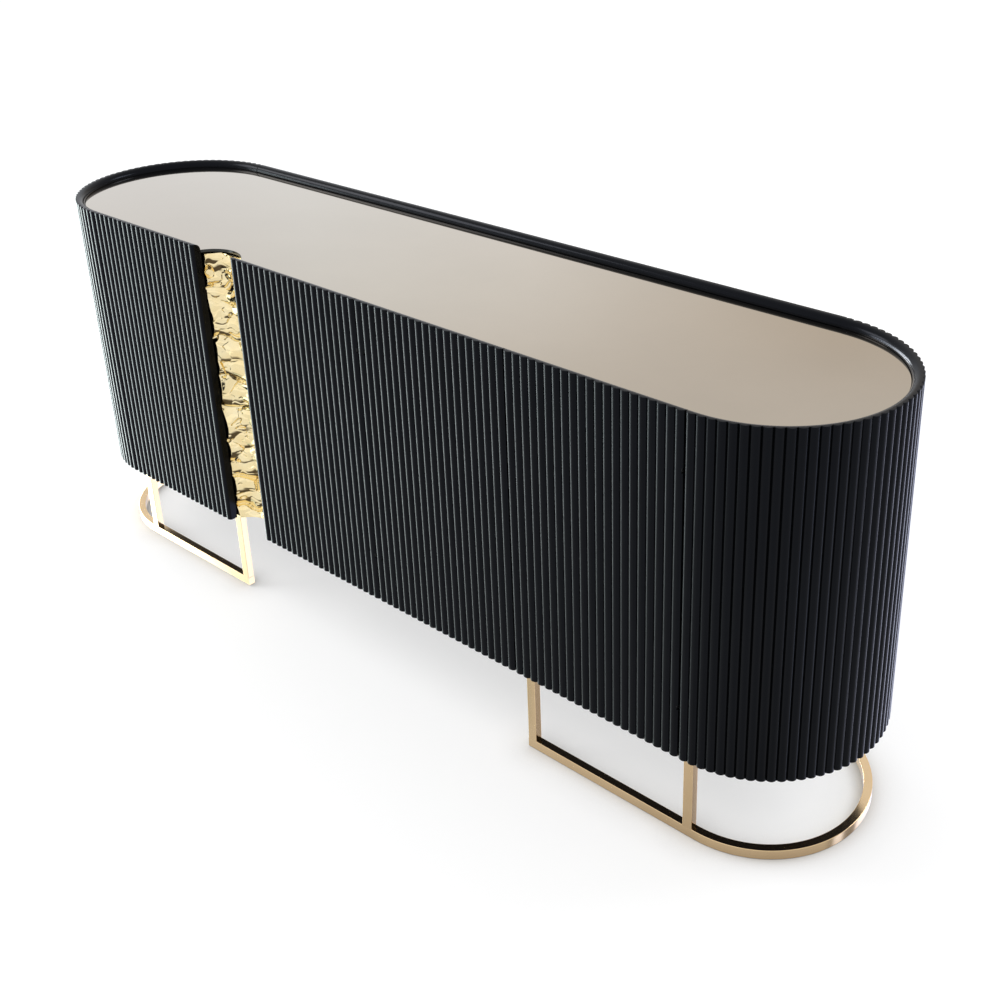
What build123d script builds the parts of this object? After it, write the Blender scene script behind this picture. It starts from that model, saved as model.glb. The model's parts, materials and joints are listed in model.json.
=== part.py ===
from build123d import *
import math
import os

# Sideboard with reeded doors and ends, a sunk glass top and two open metal bases.
# Millimetres. +X runs along the length, +Y to the back, +Z up.
# The origin is the centre of the footprint, at floor level.

# ---- overall ----
LENGTH = 2032.0
DEPTH = 460.0
HEIGHT = 820.0
UNDERSIDE_Z = 185.0

# ---- reeded faces ----
REED_PITCH = 17.0
REED_DEPTH = 4.5
REEDS_PER_DOOR = 21
REEDS_PER_END = 43
BOARD_T = 14.5
BACK_T = 18.0
SEAM = 2.5
END_SEAM_X = 778.5  # middle of the seam between an end panel and its door
RIM_DROP = 13.0  # fall of the rounded rim, from its ridge to its inner corner
RIM_SHOULDER = 47.0  # degrees round the rim's curve of the point it is drawn through
BACK_RIDGE = 4.5
EDGE_CHAMFER = 2.5  # back corner of a door, beside its hinges

# ---- carcass ----
DOOR_GAP = 2.0  # between a closed door and the carcass
PANEL_T = 18.0
END_WALL_T = 16.0
SHELF_T = 16.0
SHELF_Z = 490.0
SHELF_SETBACK = 20.0
SHELF_PLAY = 1.0
GLASS_T = 6.0
GLASS_SINK = 14.5  # from the rim's ridge down to the glass
GLASS_PLAY = 0.5

# ---- niche between doors 1 and 2 ----
NICHE_CENTRE_Y = -244.0
NICHE_GLASS_R = 69.5
NICHE_FACE_R = 69.0
NICHE_CORE_R = 78.0
NICHE_CORE_HALF = 72.0
NICHE_WALL = 8.0
NICHE_LAND = 1.0

# ---- hinges: a fixed arm turns in a forked leaf let into the door ----
HINGE_Z = (285.0, 720.0)
PIVOT_IN = 7.0  # from the door's hinge edge, and from its reed crests
PIVOT_TO_WALL = 0.75
PIN_R = 2.0
PIN_PLAY = 0.05
EYE_R = 4.5
ARM_T = 3.0
ARM_START = 7.9
ARM_W = 6.0
FORK_T = 2.5
FORK_PLAY = 0.1
FORK_REACH = 16.5
FLANGE_H = 36.0
ARM_FLANGE_T = 2.5
ARM_FLANGE_Y = 3.0
ARM_FLANGE_L = 50.0
LEAF_START = 14.5
LEAF_W = 30.0
LEAF_T = 2.0
KERF_PLAY = 0.4
KERF_FRONT = 0.3

# ---- small hardware ----
SCREW_R = 1.75
SCREW_HEAD_R = 3.5
SCREW_HEAD_T = 2.0
SCREW_Z = 10.0
ARM_SCREW_Y = (15.0, 38.0)
ARM_SCREW_DEPTH = 12.0
LEAF_SCREW_X = (24.0, 38.0)
LEAF_SCREW_DEPTH = 9.0
SHELF_PIN_R = 2.5
SHELF_PIN_HALF = 8.0
SHELF_PIN_Y = (-150.0, 170.0)
CATCH_START = 285.0
CATCH_W = 36.0
CATCH_D = 20.0
CATCH_H = 12.0
STRIKE_INSET = 3.0
STRIKE_T = 1.5
BUMPER_R = 4.0
BUMPER_T = 1.95
BUMPER_IN = 18.0

# ---- bases ----
TUBE_H = 19.0
TUBE_W = 15.5
TUBE_WALL = 1.5
BASE_R = 202.0
BASE_ARC_X = 797.0
BASE_INNER_X = 423.0
LEG_W = 19.0
OUTER_LEG_X = 774.0
PLATE_T = 3.0
PLATE_L = 70.0
PLATE_D = 40.0
PLATE_SCREWS = ((24.0, 31.0), (61.0, 31.0), (61.0, 9.0), (39.0, 9.0))
PLATE_SCREW_R = 2.0
PLATE_SCREW_HEAD_R = 4.0
PLATE_SCREW_DEPTH = 12.0
GLIDE_R = 6.0
GLIDE_T = 1.0
GLIDE_STEM_R = 2.5
GLIDE_STEM_T = 3.0
GLIDE_RAIL_X = (455.0, 640.0)
GLIDE_ARC_DEG = (-72.0, 0.0, 72.0)

# ---- worked out from the above ----
END_R = DEPTH / 2
TANGENT_X = LENGTH / 2 - END_R
CREST_Y = -DEPTH / 2
FACE_T = REED_DEPTH + BOARD_T
FACE_BACK_Y = CREST_Y + FACE_T
CARCASS_FRONT_Y = FACE_BACK_Y + DOOR_GAP
CARCASS_BACK_Y = DEPTH / 2 - BACK_T
END_INNER_R = END_R - FACE_T
GLASS_Z = HEIGHT - GLASS_SINK
TOP_Z = GLASS_Z - GLASS_T
FLOOR_Z = UNDERSIDE_Z + PANEL_T
CEILING_Z = TOP_Z - PANEL_T
DOOR_W = REEDS_PER_DOOR * REED_PITCH
SEAM_34_X = END_SEAM_X - DOOR_W - SEAM
SEAM_23_X = SEAM_34_X - DOOR_W - SEAM
NICHE_LEFT_X = -END_SEAM_X + SEAM / 2 + DOOR_W
NICHE_RIGHT_X = SEAM_23_X - SEAM / 2 - DOOR_W
NICHE_X = (NICHE_LEFT_X + NICHE_RIGHT_X) / 2
NICHE_BACK_Y = NICHE_CENTRE_Y + NICHE_CORE_R + NICHE_WALL
PIVOT_Y = CREST_Y + PIVOT_IN
FORK_Z = ARM_T / 2 + FORK_PLAY
WALL_FACE = PIVOT_IN + PIVOT_TO_WALL  # wall beside the hinges, from the door's hinge edge
PLATE_Z = UNDERSIDE_Z - PLATE_T
RAIL_TOP_Z = GLIDE_T + TUBE_H
LEG_INNER_Y = BASE_R - TUBE_W

# Each door: the X of its hinge edge, and the side of it that the door lies on.
DOORS = {
    1: (-END_SEAM_X + SEAM / 2, 1),
    2: (SEAM_23_X - SEAM / 2, -1),
    3: (SEAM_23_X + SEAM / 2, 1),
    4: (END_SEAM_X - SEAM / 2, -1),
}

# Walls that stand between the bottom and top panels: lowest and highest X.
END_WALL_IN = END_SEAM_X - SEAM / 2 - WALL_FACE
WALLS = {
    "end_partition_left": (-END_WALL_IN - END_WALL_T, -END_WALL_IN),
    "end_partition_right": (END_WALL_IN, END_WALL_IN + END_WALL_T),
    "centre_partition": (SEAM_23_X - PANEL_T / 2, SEAM_23_X + PANEL_T / 2),
    "niche_partition_left": (NICHE_X - NICHE_CORE_HALF - PANEL_T, NICHE_X - NICHE_CORE_HALF),
    "niche_partition_right": (NICHE_X + NICHE_CORE_HALF, NICHE_X + NICHE_CORE_HALF + PANEL_T),
}

# Bays: lowest and highest X of the space between two walls.
BAYS = {
    "left": (WALLS["end_partition_left"][1], WALLS["niche_partition_left"][0]),
    "centre": (WALLS["niche_partition_right"][1], WALLS["centre_partition"][0]),
    "right": (WALLS["centre_partition"][1], WALLS["end_partition_right"][0]),
}


# ---- helpers ----
def block(x0, x1, y0, y1, z0, z1):
    """Box from its lowest to its highest corner."""
    centre = Pos((x0 + x1) / 2, (y0 + y1) / 2, (z0 + z1) / 2)
    return centre * Box(x1 - x0, y1 - y0, z1 - z0)


def post(x, y, z0, z1, radius):
    """Upright cylinder."""
    return Pos(x, y, (z0 + z1) / 2) * Cylinder(radius, z1 - z0)


def rod_x(x0, x1, y, z, radius):
    """Cylinder along X."""
    return Pos((x0 + x1) / 2, y, z) * Rot(0, 90, 0) * Cylinder(radius, x1 - x0)


def rod_y(x, y0, y1, z, radius):
    """Cylinder along Y."""
    return Pos(x, (y0 + y1) / 2, z) * Rot(90, 0, 0) * Cylinder(radius, y1 - y0)


def upright(outline, z0, z1):
    """Flat outline raised from z0 to z1."""
    return Pos(0, 0, z0) * extrude(outline, amount=z1 - z0)


def flipped(shape):
    """The same shape on the other side of X = 0."""
    return mirror(shape, about=Plane.YZ)


def at_door(shape, number):
    """Move a shape from a door's own frame (x from its hinge edge) to its place."""
    edge, side = DOORS[number]
    if side < 0:
        shape = flipped(shape)
    return Pos(edge, 0, 0) * shape


def save(name, *shapes):
    """Write one piece, or a group of separate like pieces, as one node."""
    solids = [solid for shape in shapes for solid in shape.solids()]
    export_step(Compound(children=solids), f"parts/{name}.step")


# ---- reeded faces ----
def reeds(spot, count, pitch):
    """Half-round reeds side by side; spot(s, depth) is the point at length s and that depth."""
    arcs = []
    for reed in range(count):
        start = spot(reed * pitch, REED_DEPTH)
        crest = spot((reed + 0.5) * pitch, 0)
        end = spot((reed + 1) * pitch, REED_DEPTH)
        arcs.append(ThreePointArc(start, crest, end))
    return arcs


def rim_section(outer, ridge, inner):
    """Upright section through a face whose top rolls over from its ridge towards the glass."""
    corner = (inner, HEIGHT - RIM_DROP)
    half = math.radians(RIM_SHOULDER)
    shoulder = (ridge + (inner - ridge) * math.sin(half), HEIGHT - RIM_DROP * (1 - math.cos(half)))
    outline = Polyline((ridge, HEIGHT), (outer, HEIGHT), (outer, UNDERSIDE_Z), (inner, UNDERSIDE_Z), corner)
    roll = ThreePointArc(corner, shoulder, (ridge, HEIGHT))
    return make_face([*outline.edges(), roll])


def straight_rim(x0, x1, outer, ridge, inner):
    """The section above, drawn out along X."""
    return Pos(x0, 0, 0) * extrude(Plane.YZ * rim_section(outer, ridge, inner), amount=x1 - x0)


def door_spot(s, depth):
    return (s, CREST_Y + depth)


def door_panel():
    """Reeded door, in its own frame, with a kerf for each hinge."""
    valley_y = CREST_Y + REED_DEPTH
    back = Polyline(
        (DOOR_W, valley_y),
        (DOOR_W, FACE_BACK_Y),
        (EDGE_CHAMFER, FACE_BACK_Y),
        (0, FACE_BACK_Y - EDGE_CHAMFER),
        (0, valley_y),
    )
    plan = make_face([*reeds(door_spot, REEDS_PER_DOOR, REED_PITCH), *back.edges()])
    rim = straight_rim(0, DOOR_W, CREST_Y - DOOR_GAP, valley_y, FACE_BACK_Y)
    panel = upright(plan, UNDERSIDE_Z, HEIGHT) & rim
    for z in HINGE_Z:
        low = z - FORK_Z - FORK_T - FORK_PLAY
        high = z + FORK_Z + FORK_T + FORK_PLAY
        side = FORK_REACH + FORK_PLAY
        panel -= block(-DOOR_GAP, side, PIVOT_Y - KERF_FRONT, CARCASS_FRONT_Y, low, high)
        panel -= post(PIVOT_IN, PIVOT_Y, low, high, EYE_R + KERF_PLAY)
        for screw in leaf_screws(z):
            panel -= screw
    return panel


def end_spot(s, depth):
    """Point along the right end: a short straight, then the half circle."""
    start = END_SEAM_X + SEAM / 2
    straight = TANGENT_X - start
    if s < straight:
        return (start + s, CREST_Y + depth)
    angle = (s - straight) / END_R
    radius = END_R - depth
    return (TANGENT_X + radius * math.sin(angle), -radius * math.cos(angle))


def end_panel():
    """Curved reeded panel of the right end."""
    start = END_SEAM_X + SEAM / 2
    length = TANGENT_X - start + math.pi * END_R
    arcs = reeds(end_spot, REEDS_PER_END, length / REEDS_PER_END)
    edges = [
        *arcs,
        Line((TANGENT_X, END_R - REED_DEPTH), (TANGENT_X, END_INNER_R)),
        ThreePointArc(
            (TANGENT_X, END_INNER_R),
            (TANGENT_X + END_INNER_R, 0),
            (TANGENT_X, -END_INNER_R),
        ),
        Line((TANGENT_X, -END_INNER_R), (start, -END_INNER_R)),
        Line((start, -END_INNER_R), end_spot(0, REED_DEPTH)),
    ]
    section = Plane.XZ * rim_section(END_R + DOOR_GAP, END_R - REED_DEPTH, END_INNER_R)
    turned = revolve(Rot(0, 0, -90) * section, Axis.Z, 180)
    rim = Pos(TANGENT_X, 0, 0) * turned
    rim += straight_rim(start, TANGENT_X, CREST_Y - DOOR_GAP, CREST_Y + REED_DEPTH, FACE_BACK_Y)
    return upright(make_face(edges), UNDERSIDE_Z, HEIGHT) & rim


def back_panel():
    outer = DEPTH / 2
    return straight_rim(-TANGENT_X, TANGENT_X, outer, outer - BACK_RIDGE, CARCASS_BACK_Y)


# ---- carcass ----
def stadium(front, back, radius):
    """Flat outline with straight front and back and a half circle at each end."""
    right = [
        Line((TANGENT_X, front), (TANGENT_X, -radius)),
        ThreePointArc((TANGENT_X, -radius), (TANGENT_X + radius, 0), (TANGENT_X, radius)),
        Line((TANGENT_X, radius), (TANGENT_X, back)),
    ]
    left = [
        Line((-TANGENT_X, back), (-TANGENT_X, radius)),
        ThreePointArc((-TANGENT_X, radius), (-TANGENT_X - radius, 0), (-TANGENT_X, -radius)),
        Line((-TANGENT_X, -radius), (-TANGENT_X, front)),
    ]
    front_edge = Line((-TANGENT_X, front), (TANGENT_X, front))
    back_edge = Line((TANGENT_X, back), (-TANGENT_X, back))
    return make_face([front_edge, *right, back_edge, *left])


def niche_box(z0, z1):
    """The space that the niche core fills."""
    x0 = NICHE_X - NICHE_CORE_HALF
    x1 = NICHE_X + NICHE_CORE_HALF
    return block(x0, x1, CARCASS_FRONT_Y, NICHE_BACK_Y, z0, z1)


def carcass_panel(z0, z1):
    """Top or bottom panel, cut away for the niche core."""
    outline = stadium(CARCASS_FRONT_Y, CARCASS_BACK_Y, END_INNER_R)
    return upright(outline, z0, z1) - niche_box(z0, z1)


def top_glass():
    front = CARCASS_FRONT_Y
    outline = stadium(front, CARCASS_BACK_Y - GLASS_PLAY, END_INNER_R - GLASS_PLAY)
    notch = post(NICHE_X, NICHE_CENTRE_Y, TOP_Z, GLASS_Z, NICHE_GLASS_R)
    return upright(outline, TOP_Z, GLASS_Z) - notch


def niche_core():
    scoop = post(NICHE_X, NICHE_CENTRE_Y, UNDERSIDE_Z, TOP_Z, NICHE_CORE_R)
    return niche_box(UNDERSIDE_Z, TOP_Z) - scoop


def niche_relief():
    """Metal relief that lines the niche."""
    outer = post(NICHE_X, NICHE_CENTRE_Y, UNDERSIDE_Z, TOP_Z, NICHE_CORE_R)
    inner = post(NICHE_X, NICHE_CENTRE_Y, UNDERSIDE_Z, TOP_Z, NICHE_FACE_R)
    x0 = NICHE_X - NICHE_CORE_R
    x1 = NICHE_X + NICHE_CORE_R
    y0 = CARCASS_FRONT_Y + NICHE_LAND
    return (outer - inner) & block(x0, x1, y0, NICHE_BACK_Y, UNDERSIDE_Z, TOP_Z)


def shelf(bay):
    x0, x1 = BAYS[bay]
    front = CARCASS_FRONT_Y + SHELF_SETBACK
    back = CARCASS_BACK_Y - SHELF_PLAY
    return block(x0 + SHELF_PLAY, x1 - SHELF_PLAY, front, back, SHELF_Z, SHELF_Z + SHELF_T)


def shelf_pins():
    """Four pins to each shelf, half in the wall and half under the shelf."""
    pins = []
    for wall_faces in BAYS.values():
        for x in wall_faces:
            for y in SHELF_PIN_Y:
                z = SHELF_Z - SHELF_PIN_R
                pins.append(rod_x(x - SHELF_PIN_HALF, x + SHELF_PIN_HALF, y, z, SHELF_PIN_R))
    return pins


def wall(name, holes):
    x0, x1 = WALLS[name]
    panel = block(x0, x1, CARCASS_FRONT_Y, CARCASS_BACK_Y, FLOOR_Z, CEILING_Z)
    for hole in holes:
        panel -= hole
    return panel


# ---- hinges, in a door's own frame ----
def hinge_arm(z):
    """Flange on the wall, with a tongue and an eye that reach into the door."""
    half = ARM_T / 2
    flange_y = CARCASS_FRONT_Y + ARM_FLANGE_Y
    flange_x = WALL_FACE + ARM_FLANGE_T
    half_h = FLANGE_H / 2
    flange_end = flange_y + ARM_FLANGE_L
    arm = block(WALL_FACE, flange_x, flange_y, flange_end, z - half_h, z + half_h)
    arm += block(ARM_START, ARM_START + ARM_W, PIVOT_Y, flange_y + ARM_W, z - half, z + half)
    arm += post(PIVOT_IN, PIVOT_Y, z - half, z + half, EYE_R)
    arm -= post(PIVOT_IN, PIVOT_Y, z - half, z + half, PIN_R + PIN_PLAY)
    for screw in arm_screws(z):
        arm -= screw
    return arm


def arm_screws(z):
    screws = []
    head_x = WALL_FACE + ARM_FLANGE_T
    for y, dz in zip(ARM_SCREW_Y, (SCREW_Z, -SCREW_Z)):
        at_y = CARCASS_FRONT_Y + ARM_FLANGE_Y + y
        shank = rod_x(WALL_FACE - ARM_SCREW_DEPTH, head_x, at_y, z + dz, SCREW_R)
        head = rod_x(head_x, head_x + SCREW_HEAD_T, at_y, z + dz, SCREW_HEAD_R)
        screws.append(shank + head)
    return screws


def hinge_leaf(z):
    """Flange on the door's back, with a fork around the arm's eye."""
    half_h = FLANGE_H / 2
    flange_end = LEAF_START + LEAF_W
    leaf = block(LEAF_START, flange_end, FACE_BACK_Y, FACE_BACK_Y + LEAF_T, z - half_h, z + half_h)
    for low in (z + FORK_Z, z - FORK_Z - FORK_T):
        leaf += block(PIVOT_IN, FORK_REACH, PIVOT_Y, FACE_BACK_Y, low, low + FORK_T)
        leaf += post(PIVOT_IN, PIVOT_Y, low, low + FORK_T, EYE_R)
    leaf -= hinge_pin(z)
    for screw in leaf_screws(z):
        leaf -= screw
    return leaf


def leaf_screws(z):
    screws = []
    head_y = FACE_BACK_Y + LEAF_T
    for x, dz in zip(LEAF_SCREW_X, (SCREW_Z, -SCREW_Z)):
        shank = rod_y(x, FACE_BACK_Y - LEAF_SCREW_DEPTH, head_y, z + dz, SCREW_R)
        head = rod_y(x, head_y, head_y + SCREW_HEAD_T, z + dz, SCREW_HEAD_R)
        screws.append(shank + head)
    return screws


def hinge_pin(z):
    half = FORK_Z + FORK_T
    return post(PIVOT_IN, PIVOT_Y, z - half, z + half, PIN_R)


# ---- catches and bumpers, in a door's own frame ----
def catch():
    x1 = CATCH_START + CATCH_W
    back = CARCASS_FRONT_Y + CATCH_D
    return block(CATCH_START, x1, CARCASS_FRONT_Y, back, CEILING_Z - CATCH_H, CEILING_Z)


def strike():
    x0 = CATCH_START + STRIKE_INSET
    x1 = CATCH_START + CATCH_W - STRIKE_INSET
    back = FACE_BACK_Y + STRIKE_T
    return block(x0, x1, FACE_BACK_Y, back, CEILING_Z - CATCH_H, CEILING_Z)


def bumpers():
    x = DOOR_W - BUMPER_IN
    heights = (UNDERSIDE_Z + PANEL_T / 2, TOP_Z - PANEL_T / 2)
    back = FACE_BACK_Y + BUMPER_T
    return [rod_y(x, FACE_BACK_Y, back, z, BUMPER_R) for z in heights]


# ---- right base; the left one is its mirror image ----
def rail_outline(start_x, inset):
    """C-shaped outline of the floor rail, taken in by inset on every long side."""
    outer = BASE_R - inset
    inner = BASE_R - TUBE_W + inset
    arc_x = BASE_ARC_X
    return make_face([
        Line((start_x, -outer), (arc_x, -outer)),
        ThreePointArc((arc_x, -outer), (arc_x + outer, 0), (arc_x, outer)),
        Line((arc_x, outer), (start_x, outer)),
        Line((start_x, outer), (start_x, inner)),
        Line((start_x, inner), (arc_x, inner)),
        ThreePointArc((arc_x, inner), (arc_x + inner, 0), (arc_x, -inner)),
        Line((arc_x, -inner), (start_x, -inner)),
        Line((start_x, -inner), (start_x, -outer)),
    ])


def floor_rail():
    """Bent rectangular tube, open at both ends until it is capped."""
    tube = upright(rail_outline(BASE_INNER_X, 0), GLIDE_T, RAIL_TOP_Z)
    bore = rail_outline(BASE_INNER_X - TUBE_WALL, TUBE_WALL)
    tube -= upright(bore, GLIDE_T + TUBE_WALL, RAIL_TOP_Z - TUBE_WALL)
    for glide in glides():
        tube -= glide
    return tube


def end_caps():
    caps = []
    for side in (-1, 1):
        edges = sorted((side * (BASE_R - TUBE_WALL), side * (LEG_INNER_Y + TUBE_WALL)))
        low = GLIDE_T + TUBE_WALL
        caps.append(block(BASE_INNER_X, BASE_INNER_X + TUBE_WALL, *edges, low, RAIL_TOP_Z - TUBE_WALL))
    return caps


def legs():
    """Upright tubes from the floor rail to the mounting plates."""
    tubes = []
    for x in (BASE_INNER_X, OUTER_LEG_X):
        for side in (-1, 1):
            outer = sorted((side * BASE_R, side * LEG_INNER_Y))
            inner = sorted((side * (BASE_R - TUBE_WALL), side * (LEG_INNER_Y + TUBE_WALL)))
            leg = block(x, x + LEG_W, *outer, RAIL_TOP_Z, PLATE_Z)
            leg -= block(x + TUBE_WALL, x + LEG_W - TUBE_WALL, *inner, RAIL_TOP_Z, PLATE_Z)
            tubes.append(leg)
    return tubes


def plate_corners():
    """For each plate: the X of its leg's outer edge, the way it runs along X, and its side."""
    return [
        (x, way, side)
        for x, way in ((BASE_INNER_X, 1), (OUTER_LEG_X + LEG_W, -1))
        for side in (-1, 1)
    ]


def plate_screws():
    screws = []
    for x, way, side in plate_corners():
        for along, across in PLATE_SCREWS:
            at_x = x + way * along
            at_y = side * (BASE_R - across)
            shank = post(at_x, at_y, PLATE_Z, UNDERSIDE_Z + PLATE_SCREW_DEPTH, PLATE_SCREW_R)
            head = post(at_x, at_y, PLATE_Z - SCREW_HEAD_T, PLATE_Z, PLATE_SCREW_HEAD_R)
            screws.append(shank + head)
    return screws


def mounting_plates():
    plates = []
    screws = plate_screws()
    for x, way, side in plate_corners():
        x0, x1 = sorted((x, x + way * PLATE_L))
        y0, y1 = sorted((side * BASE_R, side * (BASE_R - PLATE_D)))
        plate = block(x0, x1, y0, y1, PLATE_Z, UNDERSIDE_Z)
        for screw in screws:
            plate -= screw
        plates.append(plate)
    return plates


def glides():
    """Nylon studs pushed into the underside of the floor rail."""
    middle = BASE_R - TUBE_W / 2
    spots = [(x, side * middle) for x in GLIDE_RAIL_X for side in (-1, 1)]
    for degrees in GLIDE_ARC_DEG:
        angle = math.radians(degrees)
        spots.append((BASE_ARC_X + middle * math.cos(angle), middle * math.sin(angle)))
    studs = []
    for x, y in spots:
        foot = post(x, y, 0, GLIDE_T, GLIDE_R)
        stem = post(x, y, GLIDE_T, GLIDE_T + GLIDE_STEM_T, GLIDE_STEM_R)
        studs.append(foot + stem)
    return studs


def both_sides(shapes):
    return [*shapes, *(flipped(shape) for shape in shapes)]


# ---- make and save ----
def make_carcass():
    all_plate_screws = both_sides(plate_screws())
    all_arm_screws = [at_door(screw, n) for n in DOORS for z in HINGE_Z for screw in arm_screws(z)]
    pins = shelf_pins()
    bottom = carcass_panel(UNDERSIDE_Z, FLOOR_Z)
    for screw in all_plate_screws:
        bottom -= screw
    save("bottom_panel", bottom)
    save("top_panel", carcass_panel(CEILING_Z, TOP_Z))
    save("top_glass", top_glass())
    save("back_panel", back_panel())
    right_end = end_panel()
    save("end_panel_right", right_end)
    save("end_panel_left", flipped(right_end))
    for name in WALLS:
        save(name, wall(name, [*pins, *all_arm_screws]))
    save("niche_core", niche_core())
    save("niche_relief", niche_relief())
    for bay in BAYS:
        save(f"shelf_{bay}", shelf(bay))
    save("shelf_pins", *pins)
    save("hinge_arm_screws", *all_arm_screws)
    save("base_screws", *all_plate_screws)


def make_doors():
    panel = door_panel()
    for n in DOORS:
        save(f"door_{n}", at_door(panel, n))
        save(f"door_{n}_hinge_arms", *(at_door(hinge_arm(z), n) for z in HINGE_Z))
        save(f"door_{n}_hinge_leaves", *(at_door(hinge_leaf(z), n) for z in HINGE_Z))
        save(f"door_{n}_hinge_pins", *(at_door(hinge_pin(z), n) for z in HINGE_Z))
        screws = [screw for z in HINGE_Z for screw in leaf_screws(z)]
        save(f"door_{n}_hinge_screws", *(at_door(screw, n) for screw in screws))
        save(f"door_{n}_strike", at_door(strike(), n))
        save(f"door_{n}_bumpers", *(at_door(bumper, n) for bumper in bumpers()))
    save("magnet_catches", *(at_door(catch(), n) for n in DOORS))


def make_bases():
    rail = floor_rail()
    save("base_right_floor_rail", rail)
    save("base_left_floor_rail", flipped(rail))
    save("base_right_legs", *legs())
    save("base_left_legs", *(flipped(leg) for leg in legs()))
    save("base_right_plates", *mounting_plates())
    save("base_left_plates", *(flipped(plate) for plate in mounting_plates()))
    save("base_end_caps", *both_sides(end_caps()))
    save("base_glides", *both_sides(glides()))


os.makedirs("parts", exist_ok=True)
make_carcass()
make_doors()
make_bases()
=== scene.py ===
import json
import math

import bmesh
import bpy
import numpy as np
from mathutils import Matrix, Vector, noise


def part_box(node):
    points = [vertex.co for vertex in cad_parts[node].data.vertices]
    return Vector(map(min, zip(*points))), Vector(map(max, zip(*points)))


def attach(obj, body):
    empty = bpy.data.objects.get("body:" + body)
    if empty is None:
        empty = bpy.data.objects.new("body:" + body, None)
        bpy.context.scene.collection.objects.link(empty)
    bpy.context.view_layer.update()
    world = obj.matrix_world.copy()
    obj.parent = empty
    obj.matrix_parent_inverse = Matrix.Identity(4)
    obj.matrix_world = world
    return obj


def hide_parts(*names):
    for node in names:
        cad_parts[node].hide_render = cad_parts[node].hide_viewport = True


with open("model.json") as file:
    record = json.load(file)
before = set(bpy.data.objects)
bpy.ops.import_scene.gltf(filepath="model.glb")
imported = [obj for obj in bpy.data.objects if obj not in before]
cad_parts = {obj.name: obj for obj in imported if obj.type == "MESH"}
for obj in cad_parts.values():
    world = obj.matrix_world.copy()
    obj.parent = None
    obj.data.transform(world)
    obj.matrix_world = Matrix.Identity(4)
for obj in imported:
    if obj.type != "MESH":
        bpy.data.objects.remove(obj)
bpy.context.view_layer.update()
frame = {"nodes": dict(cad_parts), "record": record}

# Looks of a reeded sideboard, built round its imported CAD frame. Metres and radians.
MM = 0.001

# ---- camera ----
CAMERA_PLACE = (1.7572, -1.6292, 1.6679)
CAMERA_YAW = 41.108
CAMERA_PITCH = 24.165
CAMERA_ROLL = 1.292
CAMERA_LENS = 47.29
CAMERA_SHIFT = (-0.056, -0.140)

# ---- reeded faces ----
REED_PITCH = 17 * MM
REED_DEPTH = 4.5 * MM
REED_STEPS = 16
FACE_T = 19 * MM
RIDGE_DEPTH = 4.7 * MM  # from the crests of the reeds to the ridge of the rim
RIM_DROP = 13 * MM
ROUND_STEPS = 14
EDGE_ROUND = 0.7 * MM
SHARP_ANGLE = math.radians(32)

# ---- slots of the hinges in the doors ----
KERF_OUT = 2 * MM  # past the door's edge
KERF_IN = 16.6 * MM
KERF_HALF = 4.2 * MM
KERF_FRONT_Y = -227.8 * MM  # behind the crests of the reeds
KERF_BACK_Y = -205 * MM  # past the door's back

# ---- boards and glass ----
ARC_STEPS = 96
BOARD_ROUND = 0.8 * MM
GLASS_ROUND = 0.9 * MM

# ---- bases ----
TUBE_ROUND = 0.9 * MM
TUBE_ROUND_STEPS = 3
TUBE_WIDTH = 15.5 * MM
LEG_WIDTH = 19 * MM
FLUSH = 0.05 * MM  # how far the legs' polished faces stand out from the rails'

# ---- niche and its gold relief ----
GLASS_NOTCH = 69.5 * MM
NOTCH_STEPS = 40
RELIEF_OUTER = 78 * MM
RELIEF_STEP = 1 * MM
RELIEF_NEAR = 62.5 * MM  # from the niche's axis to the highest ridge
RELIEF_FAR = 76.6 * MM  # and to the deepest hollow
RELIEF_BACK = 77.6 * MM
RELIEF_SEED = 7
RELIEF_TOP_GAP = 2 * MM
RELIEF_SHARP = math.radians(70)
BIG_FOLD = (96 * MM, 40 * MM)  # across and up
SMALL_FOLD = (44 * MM, 17 * MM)
BIG_DENTS = (30, (8 * MM, 17 * MM), (3 * MM, 6.5 * MM))  # how many, half lengths, half widths
SMALL_DENTS = (44, (4 * MM, 8 * MM), (2 * MM, 3.2 * MM))

# ---- floor ----
FLOOR_SIZE = 60
FLOOR_GLOW = 0.55
CONTACT_REACH = 70 * MM
CONTACT_POWER = 1.6

# ---- front of the left softbox: its plane, its sides and its glow from front to back ----
CARD_X = -1.62
CARD_Y = (-2.4, 0.02)
CARD_Z = (-2.4, 1.02)
CARD_GLOW = [(-2.4, 0.75), (-2.0, 2.6), (-0.86, 2.2), (-0.74, 8.5), (0.02, 9.5)]
CARD_FADE = (-1.5, -0.1)  # it fades towards its foot
CARD_FOOT = 0.36
CARD_COLOUR = (0.90, 1.0, 0.98, 1)

# ---- room that polished surfaces see, in bands from the floor to the ceiling ----
# Each stop is (degrees from the front, positive to the right; colour).
FLOOR_IN_FRONT = [
    (-150, (0.76, 0.78, 0.90)),
    (-97, (0.80, 0.82, 0.84)),
    (-45, (0.72, 0.72, 0.72)),
    (-15, (0.92, 0.92, 0.90)),
    (60, (0.86, 0.86, 0.86)),
]
STUDIO_FLOOR = [
    (-180, (2.00, 2.10, 2.65)),
    (-164, (2.00, 2.10, 2.65)),
    *FLOOR_IN_FRONT,
    (106, (0.86, 0.86, 0.86)),
    (114, (0.42, 0.41, 0.40)),
    (118, (1.80, 1.95, 2.50)),
    (127, (1.80, 1.95, 2.50)),
    (131, (0.42, 0.41, 0.42)),
    (147, (0.42, 0.41, 0.42)),
    (153, (2.00, 2.10, 2.65)),
    (180, (2.00, 2.10, 2.65)),
]
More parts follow.
